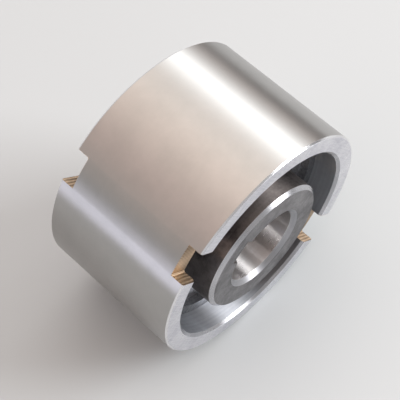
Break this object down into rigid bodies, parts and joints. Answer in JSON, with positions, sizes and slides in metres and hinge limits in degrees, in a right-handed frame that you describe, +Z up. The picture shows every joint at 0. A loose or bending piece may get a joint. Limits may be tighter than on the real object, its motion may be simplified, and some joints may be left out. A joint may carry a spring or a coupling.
{
  "type": "one-way clutch bearing",
  "caption": "Roller freewheel with a keyed inner ring and a thick ground outer ring, slotted across both end faces to carry torque.",
  "frame": {"origin": "middle of the bearing, on its axis", "axes": "+Y along the bearing axis towards the rear face, +Z up, lying on its outer ring"},
  "size_m": [0.062, 0.0384, 0.062],
  "materials": {
    "outer_ring_steel": "ground",
    "inner_ring_steel": "turned and hardened, satin",
    "bearing_steel": "ground",
    "shield_steel": "pressed sheet, satin",
    "cage_brass": "machined",
    "washer_steel": "ground",
    "roller_steel": "polished",
    "plunger_steel": "satin",
    "spring_steel": "bright wire",
    "clip_steel": "phosphated black"
  },
  "bodies": {
    "housing": {"outer_ring": "outer_ring_steel", "front_retaining_ring": "clip_steel", "front_bearing_outer_race": "bearing_steel", "front_bearing_shield": "shield_steel", "rear_bearing_outer_race": "bearing_steel", "rear_bearing_shield": "shield_steel"},
    "hub": {"inner_ring": "inner_ring_steel", "front_guide_washer": "washer_steel", "rear_guide_washer": "washer_steel", "front_bearing_inner_race": "bearing_steel", "rear_bearing_inner_race": "bearing_steel", "roller_spring_1": "spring_steel", "roller_spring_2": "spring_steel", "roller_spring_3": "spring_steel", "roller_spring_4": "spring_steel", "roller_spring_5": "spring_steel", "roller_spring_6": "spring_steel"},
    "front_cage": {"front_bearing_cage": "cage_brass", "front_bearing_rollers": "roller_steel"},
    "rear_cage": {"rear_bearing_cage": "cage_brass", "rear_bearing_rollers": "roller_steel"},
    "clutch_roller_1": {"clutch_roller_1": "roller_steel", "roller_plunger_1": "plunger_steel"},
    "clutch_roller_2": {"clutch_roller_2": "roller_steel", "roller_plunger_2": "plunger_steel"},
    "clutch_roller_3": {"clutch_roller_3": "roller_steel", "roller_plunger_3": "plunger_steel"},
    "clutch_roller_4": {"clutch_roller_4": "roller_steel", "roller_plunger_4": "plunger_steel"},
    "clutch_roller_5": {"clutch_roller_5": "roller_steel", "roller_plunger_5": "plunger_steel"},
    "clutch_roller_6": {"clutch_roller_6": "roller_steel", "roller_plunger_6": "plunger_steel"}
  },
  "joints": [
    {"name": "hub_spin", "type": "hinge", "parent": "housing", "child": "hub", "pos_m": [0, 0, 0], "axis": [0, 1, 0], "continuous": true},
    {"name": "front_cage_spin", "type": "hinge", "parent": "housing", "child": "front_cage", "pos_m": [0, 0, 0], "axis": [0, 1, 0], "continuous": true},
    {"name": "rear_cage_spin", "type": "hinge", "parent": "housing", "child": "rear_cage", "pos_m": [0, 0, 0], "axis": [0, 1, 0], "continuous": true},
    {"name": "roller_1_release", "type": "slide", "parent": "hub", "child": "clutch_roller_1", "axis": [0, 0, 1], "range_m": [0, 0.0012], "stiffness_N_per_m": 400, "springref_m": -0.003, "deforming": ["roller_spring_1"]},
    {"name": "roller_2_release", "type": "slide", "parent": "hub", "child": "clutch_roller_2", "axis": [0.866, 0, 0.5], "range_m": [0, 0.0012], "stiffness_N_per_m": 400, "springref_m": -0.003, "deforming": ["roller_spring_2"]},
    {"name": "roller_3_release", "type": "slide", "parent": "hub", "child": "clutch_roller_3", "axis": [0.866, 0, -0.5], "range_m": [0, 0.0012], "stiffness_N_per_m": 400, "springref_m": -0.003, "deforming": ["roller_spring_3"]},
    {"name": "roller_4_release", "type": "slide", "parent": "hub", "child": "clutch_roller_4", "axis": [0, 0, -1], "range_m": [0, 0.0012], "stiffness_N_per_m": 400, "springref_m": -0.003, "deforming": ["roller_spring_4"]},
    {"name": "roller_5_release", "type": "slide", "parent": "hub", "child": "clutch_roller_5", "axis": [-0.866, 0, -0.5], "range_m": [0, 0.0012], "stiffness_N_per_m": 400, "springref_m": -0.003, "deforming": ["roller_spring_5"]},
    {"name": "roller_6_release", "type": "slide", "parent": "hub", "child": "clutch_roller_6", "axis": [-0.866, 0, 0.5], "range_m": [0, 0.0012], "stiffness_N_per_m": 400, "springref_m": -0.003, "deforming": ["roller_spring_6"]}
  ],
  "couplings": [
    {"joint": "front_cage_spin", "follows": "hub_spin", "ratio": 0.45402},
    {"joint": "rear_cage_spin", "follows": "hub_spin", "ratio": 0.45402}
  ]
}
